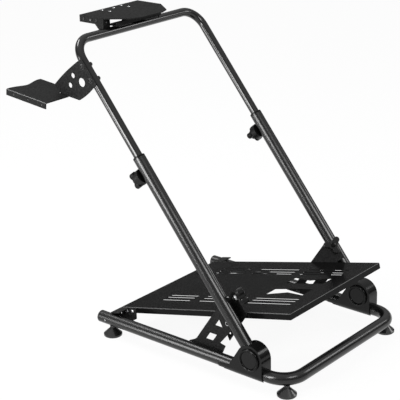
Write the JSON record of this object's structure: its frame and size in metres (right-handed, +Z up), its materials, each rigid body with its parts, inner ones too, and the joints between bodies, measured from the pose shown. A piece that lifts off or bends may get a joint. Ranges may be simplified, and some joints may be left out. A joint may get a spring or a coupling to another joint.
{
  "type": "racing wheel stand",
  "caption": "Folding tube stand for a game steering wheel, with a level wheel plate, sloping slotted pedal plate, side shifter plate and height-locking knobs.",
  "frame": {"origin": "on the floor, under the middle of the stand's bounding box", "axes": "+X to the driver's right, where the shifter plate is; +Y forward, away from the driver; +Z up"},
  "size_m": [0.6486, 0.9222, 0.8978],
  "materials": {
    "black_powder_coat": "satin",
    "black_plastic": "matte",
    "foot_plastic": "matte",
    "plain_steel": "zinc plated"
  },
  "bodies": {
    "base": {"base_tube": "black_powder_coat", "foot_user_right": "foot_plastic", "foot_user_left": "foot_plastic", "foot_front_right": "foot_plastic", "foot_front_left": "foot_plastic", "base_end_cap_right": "black_plastic", "base_end_cap_left": "black_plastic", "hinge_bracket_right": "black_powder_coat", "hinge_bracket_left": "black_powder_coat", "pivot_bolt_right": "plain_steel", "pivot_bolt_left": "plain_steel", "pivot_cap_outer_right": "black_plastic", "pivot_cap_outer_left": "black_plastic", "pivot_cap_inner_right": "black_plastic", "pivot_cap_inner_left": "black_plastic", "side_brace_right": "black_powder_coat", "side_brace_left": "black_powder_coat", "brace_saddle_right": "black_powder_coat", "brace_saddle_left": "black_powder_coat", "pedal_ear_right": "black_powder_coat", "pedal_ear_left": "black_powder_coat", "brace_spacer_right": "plain_steel", "brace_spacer_left": "plain_steel", "pedal_end_bracket_right": "black_powder_coat", "pedal_end_bracket_left": "black_powder_coat", "pedal_plate": "black_powder_coat"},
    "uprights": {"lower_upright_right": "black_powder_coat", "lower_upright_left": "black_powder_coat", "tube_bush_right": "black_plastic", "tube_bush_left": "black_plastic"},
    "top_frame": {"top_frame": "black_powder_coat", "wheel_channel": "black_powder_coat", "wheel_plate": "black_powder_coat", "shifter_bracket": "black_powder_coat", "shifter_plate": "black_powder_coat"},
    "height_knob_right": {"height_knob_right": "black_plastic"},
    "height_knob_left": {"height_knob_left": "black_plastic"},
    "brace_knob_right": {"brace_knob_right": "black_plastic"},
    "brace_knob_left": {"brace_knob_left": "black_plastic"}
  },
  "joints": [
    {"name": "fold", "type": "hinge", "parent": "base", "child": "uprights", "pos_m": [-0.0386, 0.33033, 0.0897], "axis": [1, 0, 0], "range_deg": [0, 40]},
    {"name": "height", "type": "slide", "parent": "uprights", "child": "top_frame", "axis": [0, -0.6282, 0.778], "range_m": [-0.15, 0.1]},
    {"name": "height_knob_right_turn", "type": "hinge", "parent": "uprights", "child": "height_knob_right", "pos_m": [0.22015, -0.04326, 0.52451], "axis": [0, -0.778, -0.6282], "continuous": true},
    {"name": "height_knob_left_turn", "type": "hinge", "parent": "uprights", "child": "height_knob_left", "pos_m": [-0.29735, -0.04326, 0.52451], "axis": [0, -0.778, -0.6282], "continuous": true},
    {"name": "brace_knob_right_turn", "type": "hinge", "parent": "base", "child": "brace_knob_right", "pos_m": [0.18607, 0.24931, 0.23186], "axis": [-0.7071, 0.5501, 0.4442], "continuous": true},
    {"name": "brace_knob_left_turn", "type": "hinge", "parent": "base", "child": "brace_knob_left", "pos_m": [-0.26327, 0.24931, 0.23186], "axis": [0.7071, 0.5501, 0.4442], "continuous": true}
  ]
}
